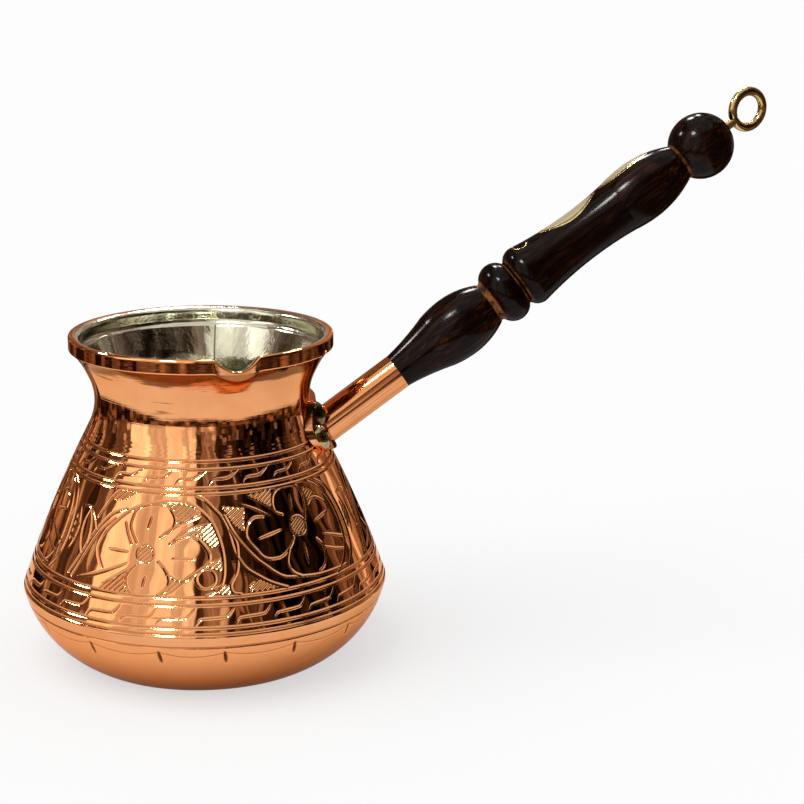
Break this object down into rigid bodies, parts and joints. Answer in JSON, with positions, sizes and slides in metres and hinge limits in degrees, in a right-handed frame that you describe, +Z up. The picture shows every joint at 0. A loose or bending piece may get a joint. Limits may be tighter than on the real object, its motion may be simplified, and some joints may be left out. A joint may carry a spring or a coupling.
{
  "type": "long-handled coffee pot",
  "caption": "Wide-bellied engraved copper coffee pot with a narrow neck, side pouring lip, riveted bracket and a turned wooden handle that rises to a hanging eye.",
  "frame": {"origin": "centre of the pot's flat base, on the surface it stands on", "axes": "+Z up along the pot's centre line, +X towards the handle, which rises from the neck, and the pouring lip towards -Y"},
  "size_m": [0.2203, 0.1044, 0.1595],
  "materials": {
    "copper": "polished copper",
    "tin": "wiped tin, satin",
    "brass": "polished brass",
    "wood": "dark lacquered hardwood",
    "bone": "polished bone"
  },
  "bodies": {
    "pot": {"pot_body": "copper", "tin_lining": "tin", "bracket_plate": "copper", "rivet_upper_near": "brass", "rivet_upper_far": "brass", "rivet_lower_near": "brass", "rivet_lower_far": "brass", "ferrule": "copper", "wooden_handle": "wood", "bone_inlay_front": "bone", "bone_inlay_rear": "bone", "inlay_wire_front": "brass", "inlay_wire_rear": "brass", "scroll_wire_far": "brass", "scroll_wire_near": "brass"},
    "eye": {"screw_eye": "brass"}
  },
  "joints": [
    {"name": "eye_turn", "type": "hinge", "parent": "pot", "child": "eye", "pos_m": [0.15518, 0, 0.14816], "axis": [0.8192, 0, 0.5736], "range_deg": [-90, 90]}
  ]
}
